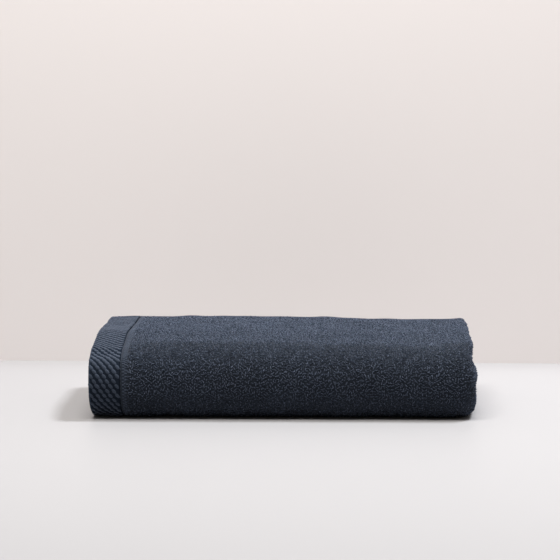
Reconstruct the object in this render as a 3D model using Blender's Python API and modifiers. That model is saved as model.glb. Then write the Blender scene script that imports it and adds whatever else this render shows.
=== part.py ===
"""A terry bath towel, folded for a shelf: in quarters along its length, then in thirds across its width.

The cloth is laid out flat in its own two distances, along (from end hem a) and across (from the outer
side hem). Each piece of it is a flat grid that both folds carry into place, thickened by Solidify.
Metres, +Z up. The towel rests on z = 0, its end hems lie at -X, and the smooth front turn faces -Y.
"""

import math

import bmesh
import bpy

# The flat towel
TOWEL_LENGTH = 1.40
TOWEL_WIDTH = 0.70
TERRY_THICKNESS = 0.0056

# Woven border and hems
END_HEM_WIDTH = 0.028
END_HEM_THICKNESS = 0.0042
RIB_STRIP_WIDTH = 0.005
RIB_STRIP_THICKNESS = 0.0036
SIDE_HEM_WIDTH = 0.010
SIDE_HEM_THICKNESS = 0.0040
STITCH_WIDTH = 0.0008
STITCH_HEIGHT = 0.0046

# Care label, sewn to the outer side hem
LABEL_WIDTH = 0.022
LABEL_DROP = 0.019
LABEL_THICKNESS = 0.0008
LABEL_ABOVE_HEM = 0.0010
LABEL_FROM_RIGHT_TURN = 0.060

# How it is folded
LAYER_GAP = 0.0006  # air between two layers of cloth
HEM_SETBACK = 0.0010  # the end hems lie this far inside the fold between them
EDGE_SETBACK = 0.0010  # the lowest top-panel edge lies this far inside the back fold
INNER_CLEARANCE = 0.0010  # room between the innermost edge and the front turn
LAYER_SLIP = 0.10  # share of a turn's extra length that the layers take up by sliding
SEAM_GAP = 0.0003
SIDE_SEAM_GAP = 0.0005  # the long seams shear a little where the length turns, so they get more room

LENGTH_TURN_STEPS = 14
CROSS_TURN_STEPS = 14

# Follows from the sizes above
PITCH = TERRY_THICKNESS + LAYER_GAP
BUNDLE = 4 * PITCH  # four layers, the towel folded in quarters
SKIN = (BUNDLE - LAYER_GAP) / 2  # from a bundle's middle to its outer face
OUTER_TURN = 1.5 * PITCH  # radius of the fold between the bundle's outermost layers
INNER_TURN = 0.5 * PITCH
FRONT_RADIUS = BUNDLE
BACK_RADIUS = BUNDLE / 2
SLIDE = LAYER_SLIP * math.pi * OUTER_TURN

LENGTH_IN_TURNS = math.pi * (OUTER_TURN + 2 * INNER_TURN)
FOLDED_LENGTH = (
    TOWEL_LENGTH + 7 * PITCH + 3 * TERRY_THICKNESS + 2 * HEM_SETBACK - LENGTH_IN_TURNS
) / 4
RIGHT_TURN_X = FOLDED_LENGTH / 2 - OUTER_TURN - TERRY_THICKNESS / 2
LEFT_TURN_X = -FOLDED_LENGTH / 2 + INNER_TURN + TERRY_THICKNESS / 2
HEM_X = -FOLDED_LENGTH / 2 + HEM_SETBACK
LEGS = ((1.5, 1), (-1.5, -1), (-0.5, 1), (0.5, -1))  # level in pitches, and the way along X

FREE_ENDS = EDGE_SETBACK + INNER_CLEARANCE + 2 * SLIDE
WIDTH_IN_TURNS = math.pi * (FRONT_RADIUS + BACK_RADIUS)
FOLDED_DEPTH = (
    TOWEL_WIDTH + 3 * FRONT_RADIUS + 2 * BACK_RADIUS + 5 * SKIN + FREE_ENDS - WIDTH_IN_TURNS
) / 3
FRONT_TURN_Y = -FOLDED_DEPTH / 2 + FRONT_RADIUS + SKIN
BACK_TURN_Y = FOLDED_DEPTH / 2 - BACK_RADIUS - SKIN
TOP_PANEL = FOLDED_DEPTH / 2 - EDGE_SETBACK - SLIDE - FRONT_TURN_Y
BOTTOM_PANEL = BACK_TURN_Y - FRONT_TURN_Y
BOTTOM_Z = SKIN
MIDDLE_Z = BOTTOM_Z + BUNDLE
TOP_Z = MIDDLE_Z + BUNDLE
FRONT_ARC = math.pi * FRONT_RADIUS
BACK_ARC = math.pi * BACK_RADIUS

END_STITCH_AT = END_HEM_WIDTH + SEAM_GAP
RIB_AT = END_STITCH_AT + STITCH_WIDTH + SEAM_GAP
TERRY_AT = RIB_AT + RIB_STRIP_WIDTH + SEAM_GAP
SIDE_STITCH_AT = SIDE_HEM_WIDTH + SIDE_SEAM_GAP
TERRY_ACROSS_AT = SIDE_STITCH_AT + STITCH_WIDTH + SIDE_SEAM_GAP

NAVY = (0.035, 0.043, 0.066)
NAVY_BORDER = (0.029, 0.036, 0.054)
NAVY_THREAD = (0.022, 0.027, 0.041)
LABEL_WHITE = (0.70, 0.69, 0.66)


def clear_scene():
    for thing in list(bpy.data.objects):
        bpy.data.objects.remove(thing, do_unlink=True)


def make_collection(name):
    collection = bpy.data.collections.new(name)
    bpy.context.scene.collection.children.link(collection)
    return collection


def make_material(name, colour, roughness):
    """Matt cloth or thread."""
    material = bpy.data.materials.new(name)
    material.use_nodes = True
    shader = material.node_tree.nodes["Principled BSDF"]
    shader.inputs["Base Color"].default_value = (*colour, 1.0)
    shader.inputs["Roughness"].default_value = roughness
    shader.inputs["Metallic"].default_value = 0.0
    return material


def length_fold(along):
    """The fold in quarters: a distance along the towel becomes x, and a height from the bundle's middle."""
    x = HEM_X
    for (level, way), (next_level, _) in zip(LEGS, LEGS[1:]):
        turn_x = RIGHT_TURN_X if way > 0 else LEFT_TURN_X
        leg = way * (turn_x - x)
        if along <= leg:
            return x + way * along, level * PITCH
        along -= leg
        radius = abs(next_level - level) / 2 * PITCH
        middle = (next_level + level) / 2 * PITCH
        if along <= math.pi * radius:
            angle = along / radius
            return (
                turn_x + way * radius * math.sin(angle),
                middle + (level * PITCH - middle) * math.cos(angle),
            )
        along -= math.pi * radius
        x = turn_x
    level, way = LEGS[-1]
    return x + way * along, level * PITCH


def cross_fold(station, height):
    """The fold in thirds: y and z of a point so far along the bundle's middle line, and so high above it.

    Station 0 is the middle of the bottom panel, plus runs to the back fold and minus to the front turn.
    """
    run = abs(station) - BOTTOM_PANEL / 2
    if run <= 0:
        return (FRONT_TURN_Y + BACK_TURN_Y) / 2 + station, BOTTOM_Z - height
    if station > 0:
        turn_y, radius, arc, way, panel_z = BACK_TURN_Y, BACK_RADIUS, BACK_ARC, 1, MIDDLE_Z
    else:
        turn_y, radius, arc, way, panel_z = FRONT_TURN_Y, FRONT_RADIUS, FRONT_ARC, -1, TOP_Z
    if run < arc:
        angle = run / radius
        reach = radius + height
        return turn_y + way * reach * math.sin(angle), BOTTOM_Z + radius - reach * math.cos(angle)
    return turn_y - way * (run - arc), panel_z + height


def edge_station(across, height):
    """The station of a point in the top or middle panel, so far across the towel from its outer side."""
    from_middle = across - (TOP_PANEL + FRONT_ARC + BOTTOM_PANEL / 2)
    slid = LAYER_SLIP * math.pi * height
    return from_middle - slid * math.copysign(1.0, from_middle)


def turn_stations(start, arc, steps):
    return [start + arc * step / steps for step in range(steps + 1)]


def length_stations(start, end):
    """Distances along the towel that bend a grid smoothly, from start to end."""
    found = [start, end]
    at = 0.0
    x = HEM_X
    for (level, way), (next_level, _) in zip(LEGS, LEGS[1:]):
        turn_x = RIGHT_TURN_X if way > 0 else LEFT_TURN_X
        at += way * (turn_x - x)
        arc = math.pi * abs(next_level - level) / 2 * PITCH
        found += [along for along in turn_stations(at, arc, LENGTH_TURN_STEPS) if start < along < end]
        at += arc
        x = turn_x
    return sorted(found)


def cross_stations(first, last):
    """Stations that bend a grid smoothly, between its first and last, which are left out."""
    front = turn_stations(-BOTTOM_PANEL / 2 - FRONT_ARC, FRONT_ARC, CROSS_TURN_STEPS)
    back = turn_stations(BOTTOM_PANEL / 2, BACK_ARC, CROSS_TURN_STEPS)
    return [station for station in front + [0.0] + back if first < station < last]


def cloth_piece(name, along, across, thickness, material, collection):
    """A rectangle of the flat towel, folded with it. Solidify gives it its thickness on both sides."""
    lengths = length_stations(*along)
    inner = cross_stations(edge_station(across[0], 0.0), edge_station(across[1], 0.0))
    columns = len(inner) + 2
    mesh = bmesh.new()
    bmesh.ops.create_grid(mesh, x_segments=len(lengths) - 1, y_segments=columns - 1, size=0.5)
    for vertex in mesh.verts:
        row = round((vertex.co.x + 0.5) * (len(lengths) - 1))
        column = round((vertex.co.y + 0.5) * (columns - 1))
        x, height = length_fold(lengths[row])
        edges = [edge_station(distance, height) for distance in across]
        station = [edges[0], *inner, edges[1]][column]
        vertex.co = (x, *cross_fold(station, height))
    data = bpy.data.meshes.new(name)
    mesh.to_mesh(data)
    mesh.free()
    data.materials.append(material)
    piece = bpy.data.objects.new(name, data)
    collection.objects.link(piece)
    solidify = piece.modifiers.new("thickness", "SOLIDIFY")
    solidify.thickness = thickness
    solidify.offset = 0.0
    solidify.use_even_offset = True
    return piece


def terry_field(collection):
    """The looped pile, between the borders and the side hems."""
    along = (TERRY_AT, TOWEL_LENGTH - TERRY_AT)
    across = (TERRY_ACROSS_AT, TOWEL_WIDTH - TERRY_ACROSS_AT)
    material = make_material("terry_navy", NAVY, 0.95)
    cloth_piece("terry_field", along, across, TERRY_THICKNESS, material, collection)


def end_borders(collection):
    """At each end: the patterned hem, turned double, the row of stitches that holds it, and a ribbed strip."""
    whole_width = (0.0, TOWEL_WIDTH)
    inside_hems = (TERRY_ACROSS_AT, TOWEL_WIDTH - TERRY_ACROSS_AT)
    rows = (
        ("end_hem", 0.0, END_HEM_WIDTH, whole_width, END_HEM_THICKNESS, NAVY_BORDER),
        ("end_stitch", END_STITCH_AT, STITCH_WIDTH, whole_width, STITCH_HEIGHT, NAVY_THREAD),
        ("rib_strip", RIB_AT, RIB_STRIP_WIDTH, inside_hems, RIB_STRIP_THICKNESS, NAVY_BORDER),
    )
    for kind, start, width, across, thickness, colour in rows:
        for end in "ab":
            along = (start, start + width)
            if end == "b":
                along = (TOWEL_LENGTH - start - width, TOWEL_LENGTH - start)
            name = f"{kind}_{end}"
            material = make_material(name, colour, 0.9)
            cloth_piece(name, along, across, thickness, material, collection)


def side_hems(collection):
    """Along each long edge: a narrow turned hem and its row of stitches."""
    between_borders = (RIB_AT, TOWEL_LENGTH - RIB_AT)
    rows = (
        ("side_hem", 0.0, SIDE_HEM_WIDTH, SIDE_HEM_THICKNESS, NAVY_BORDER),
        ("side_stitch", SIDE_STITCH_AT, STITCH_WIDTH, STITCH_HEIGHT, NAVY_THREAD),
    )
    for kind, start, width, thickness, colour in rows:
        for side in ("outer", "inner"):
            across = (start, start + width)
            if side == "inner":
                across = (TOWEL_WIDTH - start - width, TOWEL_WIDTH - start)
            name = f"{kind}_{side}"
            material = make_material(name, colour, 0.9)
            cloth_piece(name, between_borders, across, thickness, material, collection)


def care_label(collection):
    """A blank ribbon that hangs from the lowest top-panel edge, over the back fold."""
    height = LEGS[1][0] * PITCH
    hem_y, hem_z = cross_fold(edge_station(0.0, height), height)
    top = hem_z + LABEL_ABOVE_HEM
    bpy.ops.mesh.primitive_cube_add(
        size=1.0,
        location=(
            RIGHT_TURN_X - LABEL_FROM_RIGHT_TURN,
            hem_y + SEAM_GAP + LABEL_THICKNESS / 2,
            top - LABEL_DROP / 2,
        ),
        scale=(LABEL_WIDTH, LABEL_THICKNESS, LABEL_DROP),
    )
    label = bpy.context.active_object
    label.name = "care_label"
    label.data.materials.append(make_material("care_label", LABEL_WHITE, 0.5))
    for owner in list(label.users_collection):
        owner.objects.unlink(label)
    collection.objects.link(label)


def build():
    clear_scene()
    collection = make_collection("folded_bath_towel")
    terry_field(collection)
    end_borders(collection)
    side_hems(collection)
    care_label(collection)


build()
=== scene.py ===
# %% [markdown]
# A folded terry bath towel
#
# The object is one navy bath towel, folded in quarters along its length and then in thirds across its
# width. A folded towel could be modelled as a rounded block with lines drawn on its ends, and it would
# look like one. Here it is the whole cloth instead: every woven piece is laid out flat, as it comes off
# the loom, and both folds carry it into place. The layers at the ends and the back are then real.

# %% Load the frame
import math

import bpy
import numpy as np
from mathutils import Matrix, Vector


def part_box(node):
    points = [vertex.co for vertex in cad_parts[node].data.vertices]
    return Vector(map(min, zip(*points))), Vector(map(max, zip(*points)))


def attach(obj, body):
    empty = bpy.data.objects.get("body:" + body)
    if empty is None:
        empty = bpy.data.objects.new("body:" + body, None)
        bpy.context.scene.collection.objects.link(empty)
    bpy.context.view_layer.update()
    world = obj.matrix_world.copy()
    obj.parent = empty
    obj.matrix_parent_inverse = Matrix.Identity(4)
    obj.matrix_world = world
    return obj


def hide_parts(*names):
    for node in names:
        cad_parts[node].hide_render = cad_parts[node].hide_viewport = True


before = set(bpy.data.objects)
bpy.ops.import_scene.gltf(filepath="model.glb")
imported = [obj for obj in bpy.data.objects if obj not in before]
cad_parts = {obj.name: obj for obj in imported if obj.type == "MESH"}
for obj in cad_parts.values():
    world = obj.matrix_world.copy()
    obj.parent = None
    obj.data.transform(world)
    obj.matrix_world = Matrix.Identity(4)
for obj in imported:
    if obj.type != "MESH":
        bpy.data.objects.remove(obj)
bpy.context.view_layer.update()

BODY = "root"

# %% [markdown]
# Camera and room
#
# The view is low and far away, from slightly right of the towel's middle, so its top shows as a narrow
# band and its front turn faces the lens. The camera comes before the towel because it decides how fine
# the cloth has to be. A long lens from over two metres keeps both ends nearly square.

# %% Camera
TOWEL_LOW, TOWEL_HIGH = (np.array(corner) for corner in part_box("terry_field"))
CAMERA_DISTANCE = 2.30  # from the towel's front face
CAMERA_SIDE = math.radians(1.33)  # round to the right of the towel's middle
CAMERA_TURN = math.radians(1.37)  # and turned back towards it
CAMERA_RISE = math.radians(6.95)  # up from the towel's middle
CAMERA_DIP = math.radians(4.68)  # the lens looks above the towel, so the towel sits low in the frame
LENS = 164.0  # millimetres, on a full-frame sensor
SENSOR = 36.0


def make_camera():
    """A long lens on a low stand, in front of the towel."""
    camera = bpy.data.objects.new("camera", bpy.data.cameras.new("camera"))
    bpy.context.scene.collection.objects.link(camera)
    camera.data.lens = LENS
    camera.data.sensor_width = SENSOR
    front = TOWEL_LOW[1]
    camera.location = (
        CAMERA_DISTANCE * math.sin(CAMERA_SIDE),
        front - CAMERA_DISTANCE * math.cos(CAMERA_SIDE),
        TOWEL_HIGH[2] / 2 + CAMERA_DISTANCE * math.tan(CAMERA_RISE),
    )
    camera.rotation_euler = (math.pi / 2 - CAMERA_DIP, 0.0, CAMERA_TURN)
    bpy.context.scene.camera = camera
    return camera


camera = make_camera()
print("camera at", [round(value, 3) for value in camera.location])

# %% [markdown]
# Floor, wall and light
#
# The floor is a smooth white table, and the wall behind it is a warm off-white. The main lamp hangs high
# up on the right, level with the towel, so the top of the cloth is bright, the front falls into shade,
# and the shadow lies to the left. A wider lamp in front lights the wall, and a dim warm sky fills the
# shade. The wall is one-sided: seen from behind it is clear, so the back of the towel can be looked at.

# %% Room materials
def plain_material(name, colour, roughness):
    """A Principled material with one colour, for things that aren't part of the object."""
    material = bpy.data.materials.new(name)
    material.use_nodes = True
    shader = material.node_tree.nodes["Principled BSDF"]
    shader.inputs["Base Color"].default_value = (*colour, 1.0)
    shader.inputs["Roughness"].default_value = roughness
    return material


def clear_from_behind(material):
    """Makes a wall's back face transparent, so that it never hides the towel."""
    nodes, links = material.node_tree.nodes, material.node_tree.links
    side = nodes.new("ShaderNodeNewGeometry")
    clear = nodes.new("ShaderNodeBsdfTransparent")
    mix = nodes.new("ShaderNodeMixShader")
    links.new(side.outputs["Backfacing"], mix.inputs["Fac"])
    links.new(nodes["Principled BSDF"].outputs["BSDF"], mix.inputs[1])
    links.new(clear.outputs["BSDF"], mix.inputs[2])
    links.new(mix.outputs["Shader"], nodes["Material Output"].inputs["Surface"])


# %% Room
WALL_BEHIND = 0.475  # from the towel's front face
WALL_TURN = math.radians(-1.4)  # the wall isn't quite parallel to the towel
WALL_HEIGHT = 0.8
ROOM_WIDTH = 8.0
SKY_COLOUR = (1.0, 0.94, 0.86, 1.0)
SKY_STRENGTH = 0.14


def add_plane(name, location, rotation, material):
    """A square plane as wide as the room, which isn't part of the object."""
    bpy.ops.object.select_all(action="DESELECT")
    bpy.ops.mesh.primitive_plane_add(size=ROOM_WIDTH, location=location, rotation=rotation)
    plane = bpy.context.active_object
    plane.name = name
    plane.data.materials.append(material)


floor_material = plain_material("table_white", (0.415, 0.407, 0.417), 0.5)
wall_material = plain_material("wall_warm_white", (0.775, 0.73, 0.725), 0.9)
clear_from_behind(wall_material)
wall_middle = (0.0, TOWEL_LOW[1] + WALL_BEHIND, WALL_HEIGHT - ROOM_WIDTH / 2)
add_plane("floor", (0.0, 0.0, 0.0), (0.0, 0.0, 0.0), floor_material)
add_plane("wall", wall_middle, (math.pi / 2, 0.0, WALL_TURN), wall_material)


# %% Lamps and sky
def add_lamp(name, location, aim, width, depth, power, colour):
    """A soft lamp of this width and depth at location, turned to face aim."""
    lamp = bpy.data.objects.new(name, bpy.data.lights.new(name, "AREA"))
    bpy.context.scene.collection.objects.link(lamp)
    lamp.data.shape = "RECTANGLE"
    lamp.data.size = width
    lamp.data.size_y = depth
    lamp.data.energy = power
    lamp.data.color = colour
    lamp.location = location
    backwards = Vector(location) - Vector(aim)
    lamp.rotation_euler = backwards.to_track_quat("Z", "Y").to_euler()


add_lamp(
    "key_lamp",
    location=(0.98, 0.18, 2.20),
    aim=(0.0, 0.0, 0.0),
    width=0.62,
    depth=0.42,
    power=63.5,
    colour=(0.95, 0.975, 1.0),
)
add_lamp(
    "wall_lamp",
    location=(-0.20, -0.70, 1.70),
    aim=(-0.05, 0.345, 0.4),
    width=1.0,
    depth=0.8,
    power=35.0,
    colour=(1.0, 0.98, 0.94),
)
world = bpy.data.worlds.new("studio")
bpy.context.scene.world = world
world.use_nodes = True
sky = world.node_tree.nodes["Background"]
sky.inputs["Color"].default_value = SKY_COLOUR
sky.inputs["Strength"].default_value = SKY_STRENGTH
bpy.context.scene.view_settings.view_transform = "Standard"
print("room: floor, wall, two lamps and a dim sky")

# %% [markdown]
# The two folds
#
# A towel is folded twice, so its shape is two bends, one after the other. The first runs along the
# towel: four layers, joined by half-round turns at the two ends. The second rolls that bundle in
# thirds: a big turn at the front, a small one at the back. Written as formulas, they carry any point of
# the flat cloth to its place, and a point that stands off the cloth, such as a loop of pile, goes with
# it. The same sizes set the solids of the frame, so the cloth lands on them. Along and across are
# always distances over the flat cloth, from the corner where the ribbed hem meets the top free edge.

# %% Sizes of the flat towel and of its folds
TOWEL_LENGTH = 1.40
TOWEL_WIDTH = 0.70
LAYERS = 12
LAYER_GAP = 0.0006
HEM_SETBACK = 0.0010  # the hem's edge lies this far in from the left folds
EDGE_SETBACK = 0.0010  # and the free long edges this far in from the back fold
LAYER_SLIP = 0.10  # the share of the turns' difference in length that the layers make up by slipping
PITCH = (TOWEL_HIGH[2] - TOWEL_LOW[2] + LAYER_GAP) / LAYERS
LAYER_THICKNESS = PITCH - LAYER_GAP
BUNDLE = 4 * PITCH
SKIN = (BUNDLE - LAYER_GAP) / 2
FRONT_RADIUS = BUNDLE
BACK_RADIUS = BUNDLE / 2
LEFT_X, FRONT_Y, _ = TOWEL_LOW
RIGHT_X, BACK_Y, TOP_Z = TOWEL_HIGH
RIGHT_TURN_X = RIGHT_X - 1.5 * PITCH - LAYER_THICKNESS / 2
LEFT_TURN_X = LEFT_X + 0.5 * PITCH + LAYER_THICKNESS / 2
HEM_X = LEFT_X + HEM_SETBACK
FRONT_TURN_Y = FRONT_Y + FRONT_RADIUS + SKIN
BACK_TURN_Y = BACK_Y - BACK_RADIUS - SKIN
SLIDE = LAYER_SLIP * math.pi * 1.5 * PITCH
TOP_PANEL = BACK_Y - EDGE_SETBACK - SLIDE - FRONT_TURN_Y
BOTTOM_PANEL = BACK_TURN_Y - FRONT_TURN_Y
FRONT_ARC = math.pi * FRONT_RADIUS
BACK_ARC = math.pi * BACK_RADIUS
# Each leg of the first fold: its level above the bundle's middle, in pitches, and its way along X.
LEGS = ((1.5, 1), (-1.5, -1), (-0.5, 1), (0.5, -1))
print(f"one layer {PITCH * 1000:.2f} mm, bundle {BUNDLE * 1000:.1f} mm")


# %% First fold: along the towel
def turn_starts():
    """How far along the towel each of the three turns starts, and how long it is."""
    starts, at, x = [], 0.0, HEM_X
    for (level, way), (after, _) in zip(LEGS, LEGS[1:]):
        turn_x = RIGHT_TURN_X if way > 0 else LEFT_TURN_X
        at += way * (turn_x - x)
        arc = math.pi * abs(after - level) / 2 * PITCH
        starts.append((at, arc))
        at += arc
        x = turn_x
    return starts


TURNS = turn_starts()


def length_fold(along):
    """For distances along the towel: x, height over the bundle's middle, and the heading there."""
    along = np.asarray(along, float)
    x = HEM_X + along
    height = np.full_like(along, LEGS[0][0] * PITCH)
    heading = np.zeros_like(along)
    turned = 0.0
    for (start, arc), (level, way), (after, _) in zip(TURNS, LEGS, LEGS[1:]):
        turn_x = RIGHT_TURN_X if way > 0 else LEFT_TURN_X
        middle = (level + after) / 2 * PITCH
        radius = abs(after - level) / 2 * PITCH
        spin = -1.0 if (after < level) == (way > 0) else 1.0
        angle = (along - start) / radius
        inside = (along >= start) & (along <= start + arc)
        x = np.where(inside, turn_x + way * radius * np.sin(angle), x)
        height = np.where(inside, middle + (level * PITCH - middle) * np.cos(angle), height)
        heading = np.where(inside, turned + spin * angle, heading)
        turned += spin * math.pi
        past = along > start + arc
        x = np.where(past, turn_x - way * (along - start - arc), x)
        height = np.where(past, after * PITCH, height)
        heading = np.where(past, turned, heading)
    return x, height, heading


for start, arc in TURNS:
    print(f"turn from {start * 1000:.0f} mm, {arc * 1000:.1f} mm long")


# %% Second fold: across the towel
def stations(across, height):
    """How far along the bundle's middle line, from the bottom's middle, points across the towel lie."""
    run = np.asarray(across, float) - (TOP_PANEL + FRONT_ARC + BOTTOM_PANEL / 2)
    side = np.sign(run)
    past = np.abs(run) - BOTTOM_PANEL / 2
    radius = np.where(side > 0, BACK_RADIUS, FRONT_RADIUS)
    arc = math.pi * (radius + LAYER_SLIP * height)
    turning = past * radius / (radius + LAYER_SLIP * height)
    beyond = past - math.pi * LAYER_SLIP * height
    moved = np.where(past <= 0, past, np.where(past < arc, turning, beyond))
    return side * (moved + BOTTOM_PANEL / 2)


def cross_fold(station, height):
    """y and z of points so far along the bundle's middle line and so high above it."""
    run = np.abs(station) - BOTTOM_PANEL / 2
    back = station > 0
    way = np.where(back, 1.0, -1.0)
    turn_y = np.where(back, BACK_TURN_Y, FRONT_TURN_Y)
    radius = np.where(back, BACK_RADIUS, FRONT_RADIUS)
    arc = math.pi * radius
    angle = run / radius
    reach = radius + height
    y = np.where(run < arc, turn_y + way * reach * np.sin(angle), turn_y - way * (run - arc))
    z = np.where(run < arc, SKIN + radius - reach * np.cos(angle), SKIN + 2 * radius + height)
    middle_y = (FRONT_TURN_Y + BACK_TURN_Y) / 2
    y = np.where(run <= 0, middle_y + station, y)
    z = np.where(run <= 0, SKIN - height, z)
    return y, z


# %% [markdown]
# Softness
#
# Formulas alone give a machined roll. Real cloth settles: its top dips where less is under it, its
# panels slide a little past each other, and each layer bulges on its own. A cloth simulation of twelve
# thick layers in contact takes minutes and may tangle, so the settling is sculpted in code: slow waves
# over the flat cloth lift and lower its surface by less than the layers' spare room, and a gentle bend
# of the whole space moves everything together, so nothing cuts through anything.

# %% Slow waves over the cloth
WAVES = (  # length along and across the towel in metres, phase, height in metres
    (0.093, 0.151, 0.4, 0.00030),
    (-0.071, 0.119, 2.1, 0.00026),
    (0.047, -0.083, 4.0, 0.00020),
    (0.033, 0.061, 5.3, 0.00014),
    (-0.027, 0.039, 1.3, 0.00010),
)


def crumple(along, across):
    """How far the cloth stands off its even layer, from slow waves that never repeat over the towel."""
    lift = np.zeros(np.broadcast(along, across).shape)
    for length, width, phase, size in WAVES:
        lift += size * np.sin(2 * math.pi * (along / length + across / width) + phase)
    return lift


def smooth(value, low, high):
    """0 below low, 1 above high, and an even S between them."""
    part = np.clip((value - low) / (high - low), 0.0, 1.0)
    return part * part * (3 - 2 * part)


def bump(value, middle, width):
    """1 in the middle, falling to nothing on both sides within about twice the width."""
    return np.exp(-(((value - middle) / width) ** 2))


# %% How the bundle settles
RIGHT_SAG = 0.0030  # where the top dips most, near the right end
NEXT_SAG = 0.0012  # and a little to the left of that
LEFT_SAG = 0.0012
SHOULDER_SAG = 0.0048  # the front turn's upper side is flatter than round
HEM_SHOULDER_SAG = 0.0056  # and more so at the hem
FRONT_BULGE = 0.0016
BOTTOM_SLIDE = 0.0036
TOP_SLIDE = 0.0040
FAR_SLIDE = 0.0034  # what the top slides farther at the back
TOP_TUCK = 0.0008
UPPER_TUCK = 0.0040
CORNER_TUCK = 0.0015
FLOOR_CLEARANCE = 0.0002


def sag(x, depth):
    """How much lower the top lies, as a negative height. Depth is measured from the towel's front."""
    dip = -RIGHT_SAG * bump(x, 0.125, 0.040) - NEXT_SAG * bump(x, 0.06, 0.05)
    dip = dip - LEFT_SAG * smooth(-x, 0.12, -LEFT_X)
    shoulder = smooth(depth, -0.004, 0.022) * (1 - smooth(depth, 0.014, 0.110))
    return dip - shoulder * (SHOULDER_SAG + HEM_SHOULDER_SAG * smooth(-x, 0.105, 0.160))


def push_right(x, z, depth, station):
    """How far each part of the bundle moves along X: slides and bulges to the right, tucks to the left."""
    right = smooth(x, 0.02, RIGHT_X)
    left = smooth(-x, 0.10, -LEFT_X)
    front_turn = bump(station, -(BOTTOM_PANEL + FRONT_ARC) / 2, 0.045)
    upper_turn = bump(station, -(BOTTOM_PANEL / 2 + FRONT_ARC * 0.80), 0.024)
    low_corner = bump(station, -(BOTTOM_PANEL / 2 + 0.006), 0.012)
    bottom_panel = smooth(station, -BOTTOM_PANEL / 2 - 0.02, -BOTTOM_PANEL / 2 + 0.05)
    top_panel = smooth(-station, BOTTOM_PANEL / 2 + FRONT_ARC * 0.7, BOTTOM_PANEL / 2 + FRONT_ARC)
    topmost = smooth(z, 0.062, 0.073)
    far = FAR_SLIDE * smooth(depth, 0.13, 0.24)
    push = FRONT_BULGE * front_turn * right + BOTTOM_SLIDE * bottom_panel * right
    push = push + ((TOP_SLIDE + far) * topmost - TOP_TUCK) * top_panel * right
    push = push - UPPER_TUCK * upper_turn * right
    return push + CORNER_TUCK * low_corner * left


def settle(points, station):
    """Moves points of the folded towel as a whole: sags, slid panels and a slightly uneven top."""
    x, y, z = points[..., 0], points[..., 1], points[..., 2]
    depth = y - FRONT_Y
    tall = np.clip(z / TOP_Z, 0.0, 1.0)
    height = z + sag(x, depth) * tall**1.5  # the layers near the floor hardly sink
    moved_x = x + push_right(x, z, depth, station)
    return np.stack([moved_x, y, np.maximum(height, FLOOR_CLEARANCE)], axis=-1)


def place(along, across, lift):
    """Carries points of the flat towel to the folded one. Lift is their height off the cloth's middle."""
    along, across, lift = np.broadcast_arrays(along, across, lift)
    x, height, heading = length_fold(along)
    stand = lift + crumple(along, across)
    station = stations(across, height)
    y, z = cross_fold(station, height + stand * np.cos(heading))
    return settle(np.stack([x - stand * np.sin(heading), y, z], axis=-1), station)


print("corner of the cloth at", place(0.0, 0.0, 0.0).round(4))

# %% [markdown]
# Cloth by the grid
#
# Each woven piece starts as Blender's flat grid, whose points are then carried through the folds. The
# Solidify modifier gives the cloth its body afterwards, evenly on both sides, which a box bent round the
# same turns couldn't do. The grid's own flat layout stays on it as a UV map, so a colour or a weave that
# reads it follows the cloth round every turn.

# %% A grid carried into place
MAP = "OFBake"  # every piece's flat layout


def add_grid(name, rows, columns):
    """A flat grid of points, with its layout as a UV map, and each point's row and column in it."""
    bpy.ops.object.select_all(action="DESELECT")
    bpy.ops.mesh.primitive_grid_add(
        x_subdivisions=rows - 1, y_subdivisions=columns - 1, size=1.0, calc_uvs=True
    )
    grid = bpy.context.active_object
    grid.name = grid.data.name = name
    grid.data.uv_layers[0].name = MAP
    flat = np.empty(len(grid.data.vertices) * 3)
    grid.data.vertices.foreach_get("co", flat)
    flat = flat.reshape(-1, 3) + 0.5
    row = np.rint(flat[:, 0] * (rows - 1)).astype(int)
    column = np.rint(flat[:, 1] * (columns - 1)).astype(int)
    return grid, row, column


def set_points(piece, points):
    """Moves every point of a piece to its new place."""
    piece.data.vertices.foreach_set("co", np.ascontiguousarray(points, np.float32).ravel())
    piece.data.update()


def apply_modifiers(piece):
    """Makes a piece's modifiers part of its mesh."""
    bpy.ops.object.select_all(action="DESELECT")
    piece.select_set(True)
    bpy.context.view_layer.objects.active = piece
    for modifier in list(piece.modifiers):
        bpy.ops.object.modifier_apply(modifier=modifier.name)


def thicken(piece, thickness):
    """Gives a folded grid its body, half on each side, and smooths its shading."""
    solidify = piece.modifiers.new("body", "SOLIDIFY")
    solidify.thickness = thickness
    solidify.offset = 0.0
    solidify.use_even_offset = False
    apply_modifiers(piece)
    bpy.ops.object.shade_smooth()


def finish_piece(piece, material, slot, *nodes):
    """Gives a piece its material, and tells the frame what it rides and stands for. The slot is not used.
    """
    piece.data.materials.clear()
    piece.data.materials.append(material)
    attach(piece, BODY)
    if nodes:
        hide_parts(*nodes)
    return piece


# %% Where the grid lines go
def split(low, high, step):
    """Even distances from low up to high, without high, about step apart."""
    count = max(1, round((high - low) / step))
    return list(np.linspace(low, high, count, endpoint=False))


def along_lines(low, high, shown_step, hidden_step, turn_steps):
    """Grid lines along the towel: close on the outermost layer, even round turns, wide on hidden ones."""
    lines, at, step = [], low, shown_step
    for start, arc in TURNS:
        lines += split(at, start, step) + split(start, start + arc, arc / turn_steps)
        at, step = start + arc, hidden_step
    return np.array([*lines, *split(at, high, step), high])


def across_lines(low, high, step, turn_steps):
    """Grid lines across the towel: even on each panel, closer round the front and back turns."""
    top_end = TOP_PANEL
    front_end = top_end + FRONT_ARC
    bottom_end = front_end + BOTTOM_PANEL
    back_end = bottom_end + BACK_ARC
    lines = split(low, top_end, step) + split(top_end, front_end, FRONT_ARC / turn_steps)
    lines += split(front_end, bottom_end, step)
    lines += split(bottom_end, back_end, BACK_ARC / turn_steps) + split(back_end, high, step)
    return np.array([*lines, high])


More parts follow.
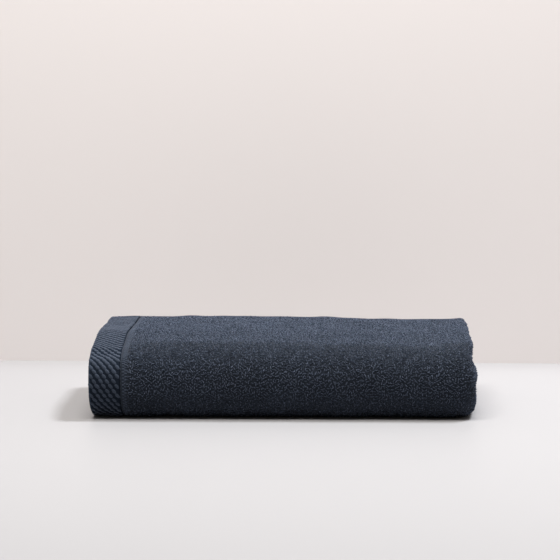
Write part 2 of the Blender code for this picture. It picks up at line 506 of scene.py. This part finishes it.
print("grid lines across, 6 mm apart:", len(across_lines(0.0, TOWEL_WIDTH, 0.006, 28)))

# %% [markdown]
# Yarn and cloth finishes
#
# Dyed cotton is matt, and it takes the dye unevenly: each loop is a little lighter or darker than the
# next, and broad patches shift between navy and slate. The short fibres that stand off it catch light
# along the edges, which is what sheen is for. Two effects are shared, so each is a node group: one gives
# every cloth its uneven dye, so that all the pieces belong together, and the other roughens yarn, thread
# and flat weave with fibres too fine to model. Each material sets them to its own values.

# %% Uneven dye, shared by every cloth
def link(tree, out, into):
    tree.links.new(out, into)


def add_texture(tree, kind, scale):
    """A texture node of this kind and scale, which reads Object coordinates."""
    where = tree.nodes.new("ShaderNodeTexCoord")
    texture = tree.nodes.new(kind)
    texture.inputs["Scale"].default_value = scale
    link(tree, where.outputs["Object"], texture.inputs["Vector"])
    return texture


def new_group(name, inputs, outputs):
    """An empty node group with these sockets, and its input and output nodes."""
    group = bpy.data.node_groups.new(name, "ShaderNodeTree")
    for way, sockets in (("INPUT", inputs), ("OUTPUT", outputs)):
        for socket, kind in sockets.items():
            group.interface.new_socket(socket, in_out=way, socket_type=kind)
    return group, group.nodes.new("NodeGroupInput"), group.nodes.new("NodeGroupOutput")


def make_dye_group():
    """Takes a colour and puts out the same colour, uneven in broad patches and from yarn to yarn."""
    inputs = {"Colour": "NodeSocketColor", "Yarn": "NodeSocketFloat"}
    group, enter, leave = new_group("uneven_dye", inputs, {"Colour": "NodeSocketColor"})
    nodes = group.nodes
    patches = add_texture(group, "ShaderNodeTexNoise", 28.0)
    patches.inputs["Detail"].default_value = 3.0
    by_patch = nodes.new("ShaderNodeMapRange")
    by_patch.inputs["From Min"].default_value = 0.3
    by_patch.inputs["From Max"].default_value = 0.7
    by_patch.inputs["To Min"].default_value = 0.88
    by_patch.inputs["To Max"].default_value = 1.12
    by_yarn = nodes.new("ShaderNodeMapRange")
    by_yarn.inputs["To Min"].default_value = 0.92
    by_yarn.inputs["To Max"].default_value = 1.08
    product = nodes.new("ShaderNodeMath")
    product.operation = "MULTIPLY"
    scaled = nodes.new("ShaderNodeVectorMath")
    scaled.operation = "SCALE"
    link(group, patches.outputs["Fac"], by_patch.inputs["Value"])
    link(group, enter.outputs["Yarn"], by_yarn.inputs["Value"])
    link(group, by_patch.outputs["Result"], product.inputs[0])
    link(group, by_yarn.outputs["Result"], product.inputs[1])
    link(group, enter.outputs["Colour"], scaled.inputs[0])
    link(group, product.outputs["Value"], scaled.inputs["Scale"])
    link(group, scaled.outputs["Vector"], leave.inputs["Colour"])
    return group


# %% Fine fibres, shared by yarn, thread and flat weave
def make_fibre_group():
    """Fibres too fine to model: puts out their height, at the scale that the material sets."""
    number = "NodeSocketFloat"
    group, enter, leave = new_group("fine_fibres", {"Scale": number}, {"Height": number})
    fibres = add_texture(group, "ShaderNodeTexNoise", 1.0)
    link(group, enter.outputs["Scale"], fibres.inputs["Scale"])
    link(group, fibres.outputs["Fac"], leave.inputs["Height"])
    return group


DYE = make_dye_group()
FIBRES = make_fibre_group()
print("shared node groups:", DYE.name, "and", FIBRES.name)


# %% A cotton material
SHEEN_ROUGHNESS = 0.45
SHEEN_TINT = (0.62, 0.70, 0.95, 1.0)
DULL = 0.25  # cotton reflects about half as much as plastic


def cotton(name, colour, roughness, sheen):
    """A matt Principled material, with the dye group before its colour as the node named dye."""
    material = bpy.data.materials.new(name)
    material.use_nodes = True
    tree = material.node_tree
    shader = tree.nodes["Principled BSDF"]
    shader.inputs["Roughness"].default_value = roughness
    shader.inputs["Sheen Weight"].default_value = sheen
    shader.inputs["Sheen Roughness"].default_value = SHEEN_ROUGHNESS
    shader.inputs["Sheen Tint"].default_value = SHEEN_TINT
    shader.inputs["Specular IOR Level"].default_value = DULL
    dye = tree.nodes.new("ShaderNodeGroup")
    dye.name = "dye"
    dye.node_tree = DYE
    dye.inputs["Colour"].default_value = (*colour, 1.0)
    dye.inputs["Yarn"].default_value = 0.5
    link(tree, dye.outputs["Colour"], shader.inputs["Base Color"])
    return material


def shade_each_copy(material):
    """Lets each copy's own shade, kept on the mesh, change how it takes the dye."""
    tree = material.node_tree
    shade = tree.nodes.new("ShaderNodeAttribute")
    shade.attribute_name = "shade"
    link(tree, shade.outputs["Fac"], tree.nodes["dye"].inputs["Yarn"])


def add_bump(material, height, strength, distance):
    """Feeds a height into the material's normal."""
    tree = material.node_tree
    bump_node = tree.nodes.new("ShaderNodeBump")
    bump_node.inputs["Strength"].default_value = strength
    bump_node.inputs["Distance"].default_value = distance
    link(tree, height, bump_node.inputs["Height"])
    link(tree, bump_node.outputs["Normal"], tree.nodes["Principled BSDF"].inputs["Normal"])


def add_fibres(material, scale, strength, distance):
    """Roughens a cloth with fine fibres, this dense and this high."""
    fibres = material.node_tree.nodes.new("ShaderNodeGroup")
    fibres.node_tree = FIBRES
    fibres.inputs["Scale"].default_value = scale
    add_bump(material, fibres.outputs["Height"], strength, distance)


# %% Pile yarn and ground cloth
NAVY = (0.0315, 0.0432, 0.066)


def navy(share):
    """This share of the towel's colour: a weave looks darker than pile, and the painted shade in the
    border's pits darker still.
    """
    return tuple(share * part for part in NAVY)


def make_pile_material():
    """Looped yarn: each loop has its own shade."""
    material = cotton("pile_yarn", NAVY, roughness=0.9, sheen=0.4)
    shade_each_copy(material)
    add_fibres(material, scale=2600.0, strength=0.35, distance=0.0002)
    return material


def make_ground_material():
    """The weave under the pile: dark, and rough with the roots of the loops."""
    material = cotton("ground_weave", navy(0.4), roughness=0.95, sheen=0.1)
    roots = add_texture(material.node_tree, "ShaderNodeTexVoronoi", 620.0)
    add_bump(material, roots.outputs["Distance"], strength=0.8, distance=0.0010)
    return material


pile_material = make_pile_material()
ground_material = make_ground_material()
print("materials:", pile_material.name, ground_material.name)

# %% [markdown]
# The terry field
#
# The middle of the towel is a tight ground weave with loops of yarn on both faces. The ground is one
# sheet of the towel's whole length, through all twelve layers. The loops come later, as pieces of
# their own, and only where they can be seen.

# %% Ground weave of the whole towel
HEM_WIDTH = 0.0280
STRIP_END = 0.0345  # the pile starts here, from each end
SIDE_HEM_WIDTH = 0.0100
PILE_SIDE = 0.0122  # and here, from each long edge
GROUND_THICKNESS = 0.0030


def make_ground():
    """The ground weave, in one sheet through all the layers."""
    rows = along_lines(
        STRIP_END, TOWEL_LENGTH - STRIP_END, shown_step=0.004, hidden_step=0.016, turn_steps=12
    )
    columns = across_lines(PILE_SIDE, TOWEL_WIDTH - PILE_SIDE, step=0.006, turn_steps=28)
    ground, row, column = add_grid("terry_cloth", len(rows), len(columns))
    set_points(ground, place(rows[row], columns[column], 0.0))
    thicken(ground, GROUND_THICKNESS)
    return finish_piece(ground, ground_material, "terry_field", "terry_field")


ground = make_ground()
print("ground weave:", len(ground.data.polygons), "faces")

# %% [markdown]
# Hems turned double
#
# At each edge the cloth is turned under twice and stitched: three plies, with a round nose at the very
# edge. A flat bar would give a sharp edge there. Instead the hem's grid follows the path the cloth
# takes: out along the top ply, round the nose, back underneath, and in again between the two.

# %% The path of a turned hem
PLY = 0.00125
PLY_PITCH = 0.00140  # from the middle of one ply to the next
TUCK_SETBACK = 0.0008  # the turned-in edge stops this far short of the hem's inner edge
PATH_STEP = 0.0025


def turned_path(width):
    """Points of a double-turned hem, seen from its end: how far in from the edge, and how high."""
    inner = width - TUCK_SETBACK
    steps = max(3, round(width / PATH_STEP))
    outside = [(inward, PLY_PITCH) for inward in np.linspace(width, PLY_PITCH, steps)]
    nose = [
        (PLY_PITCH * (1 - math.sin(angle)), PLY_PITCH * math.cos(angle))
        for angle in np.linspace(0.0, math.pi, 8)[1:-1]
    ]
    under = [(inward, -PLY_PITCH) for inward in np.linspace(PLY_PITCH, inner - PLY_PITCH / 2, 5)]
    tuck = [
        (inner - PLY_PITCH / 2 + PLY_PITCH / 2 * math.sin(angle), -PLY_PITCH / 2 * (1 + math.cos(angle)))
        for angle in np.linspace(0.0, math.pi, 6)[1:-1]
    ]
    between = [(inward, 0.0) for inward in np.linspace(inner - PLY_PITCH / 2, 2.2 * PLY_PITCH, 4)]
    return np.array(outside + nose + under + tuck + between)


# %% Flat weaves
PIT_SHADE_SHARE = 0.36  # of the towel's colour: painted shade in the pits between the border's ribs
PLAIN_SHARE = 0.90  # and on the ribbed hem's other faces
RIBBED_PART = 0.36  # the ribbed face, which gets the painted pit shade, is the first part of the hem's path


def flat_weave(name, share, sheen, specular):
    """Flat weave with fine threads, in this share of the towel's colour."""
    material = cotton(name, navy(share), 0.85, sheen)
    shader = material.node_tree.nodes["Principled BSDF"]
    shader.inputs["Specular IOR Level"].default_value = specular
    add_fibres(material, scale=1500.0, strength=0.5, distance=0.0003)
    return material


def make_border_with_painted_pits():
    """The ribbed hem's cloth: dark and dull in the pits between its ribs, as painted shade, and plain on
    its other faces.
    """
    material = flat_weave("border_with_painted_pits", PIT_SHADE_SHARE, sheen=0.0, specular=0.0)
    tree = material.node_tree
    layout = tree.nodes.new("ShaderNodeUVMap")
    layout.uv_map = MAP
    way = tree.nodes.new("ShaderNodeSeparateXYZ")
    plain = tree.nodes.new("ShaderNodeMath")
    plain.operation = "GREATER_THAN"
    plain.inputs[1].default_value = RIBBED_PART
    # painted shade: the ribbed face's pits get a darker colour than the hem's other faces
    painted_pits_or_plain = tree.nodes.new("ShaderNodeMix")
    painted_pits_or_plain.data_type = "RGBA"
    painted_pits_or_plain.inputs["A"].default_value = (*navy(PIT_SHADE_SHARE), 1.0)
    painted_pits_or_plain.inputs["B"].default_value = (*navy(PLAIN_SHARE), 1.0)
    link(tree, layout.outputs["UV"], way.inputs["Vector"])
    link(tree, way.outputs["X"], plain.inputs[0])
    link(tree, plain.outputs["Value"], painted_pits_or_plain.inputs["Factor"])
    link(tree, painted_pits_or_plain.outputs["Result"], tree.nodes["dye"].inputs["Colour"])
    return material


border_weave = flat_weave("border_weave", 0.70, sheen=0.2, specular=DULL)
strip_weave = flat_weave("strip_weave", 0.45, sheen=0.15, specular=0.2)
border_with_painted_pits = make_border_with_painted_pits()
print("flat weaves:", border_weave.name, strip_weave.name, border_with_painted_pits.name)


# %% End hems and side hems
def from_end(inward, end):
    """Distances along the towel of points this far in from one of its ends."""
    return inward if end == "a" else TOWEL_LENGTH - inward


def from_side(inward, side):
    """Distances across the towel of points this far in from one of its long edges."""
    return inward if side == "outer" else TOWEL_WIDTH - inward


def make_end_hem(end):
    """The turned end hem. Only end a lies outside and carries the ribs."""
    path = turned_path(HEM_WIDTH)
    columns = across_lines(0.0, TOWEL_WIDTH, step=0.004, turn_steps=36)
    hem, row, column = add_grid(f"turned_hem_{end}", len(path), len(columns))
    inward, lift = path[row, 0], path[row, 1]
    set_points(hem, place(from_end(inward, end), columns[column], lift))
    thicken(hem, PLY)
    # end a's ribbed face has painted shade in the pits between its ribs
    weave = border_with_painted_pits if end == "a" else border_weave
    return finish_piece(hem, weave, "border", f"end_hem_{end}")


def make_side_hem(side):
    """The turned hem along one long edge, from end hem to end hem."""
    path = turned_path(SIDE_HEM_WIDTH)
    rows = along_lines(
        HEM_WIDTH, TOWEL_LENGTH - HEM_WIDTH, shown_step=0.005, hidden_step=0.005, turn_steps=14
    )
    hem, row, column = add_grid(f"turned_side_{side}", len(rows), len(path))
    inward, lift = path[column, 0], path[column, 1]
    set_points(hem, place(rows[row], from_side(inward, side), lift))
    thicken(hem, PLY)
    return finish_piece(hem, border_weave, "side_hem", f"side_hem_{side}")


hems = [make_end_hem(end) for end in "ab"] + [make_side_hem(side) for side in ("outer", "inner")]
for hem in hems:
    print(hem.name, len(hem.data.polygons), "faces")

# %% [markdown]
# Ribbed strips
#
# Between hem and pile the cloth is woven flat for a few millimetres, with fine ribs. It is a grid again,
# close enough along the towel for the ribs and for the groove that the hem's stitches pull into it.

# %% Rib strips
STRIP_THICKNESS = 0.0030
STRIP_START = HEM_WIDTH + 0.0002
STRIP_SIDE = SIDE_HEM_WIDTH + 0.0005
FINE_RIB_HEIGHT = 0.00028
FINE_RIB_PITCH = 0.0016
END_SEAM = HEM_WIDTH + 0.0008  # the hem's stitches, and the groove that they lie in
GROOVE_DEPTH = 0.0008
GROOVE_WIDTH = 0.0006


def make_rib_strip(end):
    """The narrow pile-free strip between hem and pile, with its fine ribs in the mesh."""
    rows = np.linspace(STRIP_START, STRIP_END, 25)
    columns = across_lines(STRIP_SIDE, TOWEL_WIDTH - STRIP_SIDE, step=0.004, turn_steps=36)
    strip, row, column = add_grid(f"ribbed_strip_{end}", len(rows), len(columns))
    inward = rows[row]
    ribs = FINE_RIB_HEIGHT * np.cos(2 * math.pi * inward / FINE_RIB_PITCH)
    ribs = ribs - GROOVE_DEPTH * bump(inward, END_SEAM, GROOVE_WIDTH)
    set_points(strip, place(from_end(inward, end), columns[column], ribs))
    thicken(strip, STRIP_THICKNESS)
    return finish_piece(strip, strip_weave, "rib_strip", f"rib_strip_{end}")


strips = [make_rib_strip(end) for end in "ab"]
print("rib strips:", len(strips))

# %% [markdown]
# Small shapes by the thousand
#
# Loops, raised weave and stitches are each one small shape, repeated all over the cloth. Each is
# modelled once, at its real size, standing on the origin. Copies are then set on the cloth: turned,
# stretched and leaned a little by a seeded random draw, so that no two are alike and every run is.
# A duplicate of the object for each copy would take minutes, so the copies' points are worked out
# together and written to one mesh.

# %% Directions on the cloth
NEARBY = 0.0002  # how far off the second point lies, when a direction is measured
YARN_CLEARANCE = 0.00015  # no copy goes lower than this over the floor
rng = np.random.default_rng(11)


def axes_on_cloth(along, across, lift):
    """Each spot's place, and its unit directions along the cloth, across it and off it."""
    spot = place(along, across, lift)
    directions = []
    for moved in (
        place(along + NEARBY, across, lift),
        place(along, across + NEARBY, lift),
        place(along, across, lift + NEARBY),
    ):
        direction = moved - spot
        length = np.linalg.norm(direction, axis=-1, keepdims=True)
        directions.append(direction / np.maximum(length, 1e-9))
    return spot, directions


def spread(along, across):
    """How much wider than flat the cloth lies here: an outer layer opens as it goes round a turn."""
    apart = place(along, across + NEARBY, 0.0) - place(along, across, 0.0)
    return np.linalg.norm(apart, axis=-1) / NEARBY


# %% Setting copies on the cloth
def read_shape(piece):
    """A small shape's points and faces. The shape itself is removed."""
    points = np.array([vertex.co[:] for vertex in piece.data.vertices])
    order = np.lexsort(points.round(7).T)  # by height: a cut leaves another order in every run
    number = np.argsort(order)
    rings = [number[list(face.vertices)].tolist() for face in piece.data.polygons]
    firsts = [ring.index(min(ring)) for ring in rings]
    faces = sorted(ring[first:] + ring[:first] for ring, first in zip(rings, firsts))
    bpy.data.objects.remove(piece, do_unlink=True)
    return points[order], faces


def mirrored(directions):
    """Whether the cloth's three directions are left-handed, which would turn every copy inside out."""
    along, across, off = (direction[0] for direction in directions)
    return np.dot(np.cross(along, across), off) < 0


def set_copies(name, faces, local, along, across, lift):
    """One mesh of copies at these spots. Local holds each copy's points, in its own directions."""
    spots, directions = axes_on_cloth(along, across, lift)
    if mirrored(directions):
        faces = [face[::-1] for face in faces]
    count, size = local.shape[:2]
    points = spots[:, None, :] + sum(
        local[:, :, axis, None] * directions[axis][:, None, :] for axis in range(3)
    )
    points[..., 2] = np.maximum(points[..., 2], YARN_CLEARANCE)
    corners = np.concatenate([np.array(face) for face in faces])
    every = (corners[None, :] + size * np.arange(count)[:, None]).ravel()
    lengths = np.tile([len(face) for face in faces], count)
    starts = np.concatenate([[0], np.cumsum(lengths)[:-1]])
    mesh = bpy.data.meshes.new(name)
    mesh.vertices.add(count * size)
    mesh.loops.add(len(every))
    mesh.polygons.add(len(lengths))
    mesh.vertices.foreach_set("co", points.astype(np.float32).ravel())
    mesh.loops.foreach_set("vertex_index", every.astype(np.int32))
    mesh.polygons.foreach_set("loop_start", starts.astype(np.int32))
    mesh.update(calc_edges=True)
    attribute = mesh.attributes.new("shade", "FLOAT", "POINT")
    attribute.data.foreach_set("value", np.repeat(rng.uniform(0, 1, count), size).astype(np.float32))
    lay_out_copies(mesh, faces, count)
    mesh.polygons.foreach_set("use_smooth", np.ones(len(lengths), bool))
    piece = bpy.data.objects.new(name, mesh)
    bpy.context.scene.collection.objects.link(piece)
    return piece


def lay_out_copies(mesh, faces, count):
    """Gives each copy a square of the piece's UV map, and each of its faces a square inside that."""
    squares = math.ceil(math.sqrt(count))
    side = math.ceil(math.sqrt(len(faces)))
    ring = [(0.1, 0.1), (0.9, 0.1), (0.9, 0.9), (0.1, 0.9)]
    inside = []
    for index, face in enumerate(faces):
        across, up = index % side, index // side
        turn = [ring[corner % 4] for corner in range(len(face))]
        inside += [((across + u) / side, (up + v) / side) for u, v in turn]
    inside = np.array(inside)
    square = np.arange(count)
    origin = np.stack([square % squares, square // squares], axis=-1)
    layout = (origin[:, None, :] + 0.03 + 0.94 * inside[None]) / squares
    mesh.uv_layers.new(name=MAP).uv.foreach_set("vector", layout.astype(np.float32).ravel())


# %% [markdown]
# Pile
#
# A loop of terry is a short arch of yarn that leans and curls. Half of a thin ring is that arch, so the
# shape is Blender's torus, bisected. Three sides and four bends are enough, because there are tens of
# thousands of them. They stand in rows, as woven, but each a little out of place. Where the outer layer
# opens round the tight back turn, a second loop is set beside each.

# %% One loop of yarn
YARN_RADIUS = 0.00038
LOOP_RADIUS = 0.00095
LOOP_FOOT = 0.0002  # how much of the ring's lower half is kept
MERGE = 1e-6  # a cut merges points this close, and its usual 0.1 mm is too much for such small shapes


def keep_above(height):
    """Cuts off all of the new shape that is below this height and closes the cut."""
    bpy.ops.object.transform_apply(location=True, rotation=True, scale=True)
    bpy.ops.object.mode_set(mode="EDIT")
    bpy.ops.mesh.select_all(action="SELECT")
    bpy.ops.mesh.bisect(
        plane_co=(0.0, 0.0, height),
        plane_no=(0.0, 0.0, 1.0),
        clear_inner=True,
        use_fill=True,
        threshold=MERGE,
    )
    bpy.ops.object.mode_set(mode="OBJECT")


def model_loop():
    """The upper half of a thin ring, standing on the origin."""
    bpy.ops.object.select_all(action="DESELECT")
    bpy.ops.mesh.primitive_torus_add(
        major_segments=8,
        minor_segments=3,
        major_radius=LOOP_RADIUS,
        minor_radius=YARN_RADIUS,
        rotation=(math.pi / 2, 0.0, 0.0),
    )
    loop = bpy.context.active_object
    keep_above(-LOOP_FOOT)
    return read_shape(loop)


loop_points, loop_faces = model_loop()
print("one loop:", len(loop_points), "points,", len(loop_faces), "faces")

# %% Rows of loops over what shows
PILE_PITCH = 0.0021
PILE_ROOT = 0.0012  # the loops stand this far off the middle of the cloth
MOST_LOOPS = 5000  # in one piece
MOST_SPREAD = 1.5  # where the cloth opens more than this, a second loop is set beside each


def loop_rows(low, high):
    """Spots in staggered rows, over the pile's whole width, between these distances along the towel."""
    rows = np.arange(low + PILE_PITCH / 2, high, PILE_PITCH)
    columns = np.arange(PILE_SIDE + PILE_PITCH / 2, TOWEL_WIDTH - PILE_SIDE, PILE_PITCH)
    along, across = np.meshgrid(rows, columns, indexing="ij")
    stagger = 0.5 * PILE_PITCH * (np.arange(len(rows)) % 2)
    across = across + stagger[:, None]
    spots = np.stack([along.ravel(), across.ravel()], axis=-1)
    return spots + rng.uniform(-0.32, 0.32, spots.shape) * PILE_PITCH


def shown(spots):
    """Which spots of the outermost layer can be seen once the towel is folded."""
    points = place(spots[:, 0], spots[:, 1], PILE_ROOT)
    _, height, _ = length_fold(spots[:, 0])
    station = stations(spots[:, 1], height)
    bottom = np.abs(station) < BOTTOM_PANEL / 2
    near_edge = (points[:, 0] < LEFT_X + 0.06) | (points[:, 0] > RIGHT_X - 0.03)
    near_edge |= (points[:, 1] < FRONT_TURN_Y + 0.004) | (points[:, 1] > BACK_TURN_Y - 0.004)
    middle_panel = station > BOTTOM_PANEL / 2 + BACK_ARC
    at_turn = spots[:, 0] > TURNS[0][0] - 0.004
    return np.where(bottom, near_edge, np.where(middle_panel, at_turn, True))


right_turn, right_arc = TURNS[0]
left_turn, left_arc = TURNS[1]
outer = loop_rows(STRIP_END, right_turn + 0.8 * right_arc)
outer = outer[shown(outer)]
opened = outer[spread(outer[:, 0], outer[:, 1]) > MOST_SPREAD]
outer = np.concatenate([outer, opened + [0.3 * PILE_PITCH, 0.5 * PILE_PITCH]])
outer = outer[np.argsort(outer[:, 1], kind="stable")]
inner = loop_rows(left_turn - 0.003, left_turn + left_arc + 0.003)
print("loops:", len(outer), "outside and", len(inner), "at the left folds")


# %% The pile
def make_pile(name, spots):
    """One piece of pile: loops turned anyhow, some taller, some flattened."""
    count = len(spots)
    turn = rng.uniform(0, 2 * math.pi, count)
    wide = rng.uniform(0.75, 1.25, count)
    tall = rng.uniform(0.75, 1.7, count)
    lean = rng.normal(0.0, 0.35, (count, 2))
    curl = rng.uniform(-0.9, 0.9, count)
    x, y, z = (loop_points[None, :, axis] for axis in range(3))
    height = z * tall[:, None]
    curled = y + curl[:, None] * x * z / LOOP_RADIUS
    stretched = x * wide[:, None]
    cos, sin = np.cos(turn)[:, None], np.sin(turn)[:, None]
    up = np.maximum(height, 0.0)
    local = np.stack(
        [
            stretched * cos - curled * sin + lean[:, :1] * up,
            stretched * sin + curled * cos + lean[:, 1:] * up,
            height,
        ],
        axis=-1,
    )
    pile = set_copies(name, loop_faces, local, spots[:, 0], spots[:, 1], PILE_ROOT)
    return finish_piece(pile, pile_material, "terry_field")


bands = np.array_split(outer, math.ceil(len(outer) / MOST_LOOPS))
piles = [make_pile(f"pile_{number:02d}", band) for number, band in enumerate(bands, start=1)]
piles.append(make_pile("pile_left_folds", inner))
print("pile pieces:", len(piles), "with", sum(len(pile.data.polygons) for pile in piles), "faces")

# %% [markdown]
# Raised weave of the border
#
# The border is woven, not sewn on: short floats of thread lie on the cloth in a slanting lattice, so
# they join into diagonal ribs with small pits between them, which are dark from their depth and from
# painted shade in the cloth beneath. A bump map would do from far away, but the ribs make the left
# end's outline and catch the light on the turn, so each float is modelled.
# Half a stretched sphere has a float's shape.

# %% One float
FLOAT_LENGTH = 0.0062
FLOAT_WIDTH = 0.0034
FLOAT_HEIGHT = 0.0008
DOME_FOOT = 0.3  # how much of the lower half is kept, in heights


def model_dome(length, width, height):
    """The upper half of a sphere, stretched to this length, width and height, standing on the origin."""
    bpy.ops.object.select_all(action="DESELECT")
    bpy.ops.mesh.primitive_uv_sphere_add(
        segments=8,
        ring_count=6,
        radius=1.0,
        scale=(length / 2, width / 2, height),
    )
    dome = bpy.context.active_object
    keep_above(-DOME_FOOT * height)
    return read_shape(dome)


float_points, float_faces = model_dome(FLOAT_LENGTH, FLOAT_WIDTH, FLOAT_HEIGHT)
print("one float:", len(float_faces), "faces")

# %% Thread of the border
def make_float_material():
    """The border's thread: smoother than the pile's yarn, with a shade of its own for each float."""
    material = cotton("border_thread", navy(0.88), roughness=0.8, sheen=0.35)
    shade_each_copy(material)
    add_fibres(material, scale=2200.0, strength=0.4, distance=0.0002)
    return material


float_weave = make_float_material()
print("material:", float_weave.name)

# %% The border's lattice of floats
STEP_ALONG, STEP_ACROSS = 0.00300, 0.00330  # from one float of a rib to the next
RIB_PITCH = 0.0066  # across the towel, from one rib to the next
FIRST_FLOAT = 0.0018  # in from the end of the towel
FLOAT_SIDE = 0.003  # the least distance from a long edge
RIBS_BEGIN = -0.040  # the first rib starts this far outside the towel, so its slant fills the corner
SPARE_RIBS = 6


def float_places():
    """Where the floats lie, rib by rib, as distances along and across the towel."""
    ribs = math.ceil((TOWEL_WIDTH + HEM_WIDTH * STEP_ACROSS / STEP_ALONG) / RIB_PITCH) + SPARE_RIBS
    in_rib = int((HEM_WIDTH - FLOAT_SIDE) / STEP_ALONG) + 1
    places = [
        (FIRST_FLOAT + STEP_ALONG * step, STEP_ACROSS * step + RIB_PITCH * rib + RIBS_BEGIN)
        for rib in range(ribs)
        for step in range(in_rib)
    ]
    return np.array([spot for spot in places if FLOAT_SIDE < spot[1] < TOWEL_WIDTH - FLOAT_SIDE])


def lay_floats():
    """Floats over the outer face of the border at end a, stretched where the cloth opens."""
    places = float_places()
    places += rng.normal(0.0, 0.00012, places.shape)
    count = len(places)
    slant = math.atan2(STEP_ACROSS, STEP_ALONG) + rng.normal(0.0, 0.05, count)
    size = rng.uniform(0.92, 1.06, count)
    tall = rng.uniform(0.8, 1.2, count)
    x, y, z = (float_points[None, :, axis] for axis in range(3))
    cos, sin = np.cos(slant)[:, None], np.sin(slant)[:, None]
    wide = size[:, None]
    opening = np.clip(spread(places[:, 0], places[:, 1]) / 1.35, 1.0, 1.6)[:, None]
    local = np.stack(
        [wide * (x * cos - y * sin), wide * opening * (x * sin + y * cos), z * tall[:, None]], axis=-1
    )
    lift = PLY_PITCH + 0.6 * PLY / 2
    floats = set_copies("border_floats", float_faces, local, places[:, 0], places[:, 1], lift)
    return finish_piece(floats, float_weave, "border")


floats = lay_floats()
print("floats:", len(floats.data.polygons), "faces")


# %% Small floats on the rib strips
SHORT_LENGTH, SHORT_WIDTH, SHORT_HEIGHT = 0.0026, 0.0018, 0.0007
SHORT_PITCH = 0.0022
SHORT_ROWS = (0.0313, 0.0333)  # in from the end of the towel
SHORT_SIDE = SIDE_HEM_WIDTH + 0.002


def lay_strip_floats(end):
    """Two staggered rows of short floats, so the strip is finely ribbed."""
    points, faces = model_dome(SHORT_LENGTH, SHORT_WIDTH, SHORT_HEIGHT)
    over = np.arange(SHORT_SIDE, TOWEL_WIDTH - SHORT_SIDE, SHORT_PITCH)
    across = np.concatenate([over, over + SHORT_PITCH / 2])
    along = from_end(np.repeat(SHORT_ROWS, len(over)), end)
    along = along + rng.normal(0.0, 0.0001, len(along))
    count = len(along)
    size = rng.uniform(0.9, 1.1, (count, 1, 1))
    local = points[None] * size
    ribs = set_copies(f"strip_floats_{end}", faces, local, along, across, STRIP_THICKNESS / 2)
    return finish_piece(ribs, float_weave, "rib_strip")


strip_floats = [lay_strip_floats(end) for end in "ab"]
print("strip floats:", sum(len(ribs.data.polygons) for ribs in strip_floats), "faces")

# %% [markdown]
# Stitching
#
# A lockstitch sinks into soft cloth, so what shows is a row of short threads lying in a groove. At the
# ends the groove is in the ribbed strips already. Along the sides it is the gap between hem and pile.
# Half a stretched sphere has a stitch's shape too.

# %% Rows of stitches
STITCH_PITCH = 0.0034
STITCH_LENGTH = 0.0027
STITCH_THICKNESS = 0.0007
STITCH_HEIGHT = 0.0005
SEAM_START = 0.004  # from the edge that a row starts at
SIDE_SEAM = SIDE_HEM_WIDTH + 0.0012
END_LIFT = 0.0008  # off the middle of the cloth, at the ends
SIDE_LIFT = 0.0017
stitch_points, stitch_faces = model_dome(STITCH_LENGTH, STITCH_THICKNESS, STITCH_HEIGHT)
thread_material = cotton("stitch_thread", navy(0.8), roughness=0.6, sheen=0.1)


def sew(name, node, along, across, lift, cross_ways):
    """A row of stitches on the outer face of the cloth, along the towel or across it."""
    along, across = np.broadcast_arrays(along, across)
    x, y, z = (stitch_points[None, :, axis] for axis in range(3))
    count = len(along)
    tilt = rng.normal(0.0, 0.06, count)[:, None]
    long_way, short_way = x + tilt * y, y + tilt * x
    parts = [-short_way, long_way] if cross_ways else [long_way, short_way]
    local = np.stack([*parts, np.broadcast_to(z, long_way.shape)], axis=-1)
    row = set_copies(name, stitch_faces, local, along, across, lift)
    return finish_piece(row, thread_material, "thread", node)


def sew_all():
    """The rows at the two ends and then those along the two sides."""
    over = np.arange(SEAM_START, TOWEL_WIDTH - SEAM_START, STITCH_PITCH)
    down = np.arange(HEM_WIDTH + SEAM_START, TOWEL_LENGTH - HEM_WIDTH - SEAM_START, STITCH_PITCH)
    rows = []
    for end in "ab":
        along = from_end(END_SEAM, end)
        rows.append(sew(f"thread_end_{end}", f"end_stitch_{end}", along, over, END_LIFT, True))
    for side in ("outer", "inner"):
        across = from_side(SIDE_SEAM, side)
        rows.append(sew(f"thread_side_{side}", f"side_stitch_{side}", down, across, SIDE_LIFT, False))
    return rows


stitches = sew_all()
print("stitches:", sum(len(row.data.polygons) for row in stitches), "faces")

# %% [markdown]
# Care label
#
# A loop of thin satin tape, sewn into the side hem and left blank here. It hangs at the back.

# %% Blank tape loop
LABEL_PLY = 0.00028
LABEL_CURL = 0.0011


def make_label():
    """A tape that hangs down, turns round at the bottom and comes up again behind itself."""
    low, high = (np.array(corner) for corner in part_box("care_label"))
    drop = high[2] - low[2]
    depth = (high[1] - low[1] - LABEL_PLY) / 2
    back = high[1] - LABEL_PLY / 2
    bend = [
        (back - depth + depth * math.cos(angle), low[2] + depth - depth * math.sin(angle))
        for angle in np.linspace(0.0, math.pi, 7)
    ]
    down = [(back, at) for at in np.linspace(high[2], low[2] + depth, 9)[:-1]]
    up = [(back - 2 * depth, at) for at in np.linspace(low[2] + depth, high[2], 9)[1:]]
    path = np.array(down + bend + up)
    across = np.linspace(low[0], high[0], 13)
    label, row, column = add_grid("label_tape", len(path), len(across))
    x = across[column]
    hang = (high[2] - path[row, 1]) / drop
    curl = LABEL_CURL * hang**2 * np.sin(2.2 * (x - low[0]) / (high[0] - low[0]))
    set_points(label, np.stack([x, path[row, 0] + curl, path[row, 1]], axis=-1))
    thicken(label, LABEL_PLY)
    return finish_piece(label, label_material(), "care_label", "care_label")


def label_material():
    """Off-white satin: fine lines along the tape, and a soft shine."""
    material = cotton("label_satin", (0.70, 0.69, 0.66), roughness=0.45, sheen=0.1)
    lines = add_texture(material.node_tree, "ShaderNodeTexWave", 900.0)
    lines.inputs["Distortion"].default_value = 1.0
    add_bump(material, lines.outputs["Fac"], strength=0.2, distance=0.0001)
    return material


label = make_label()
print("label:", len(label.data.polygons), "faces")
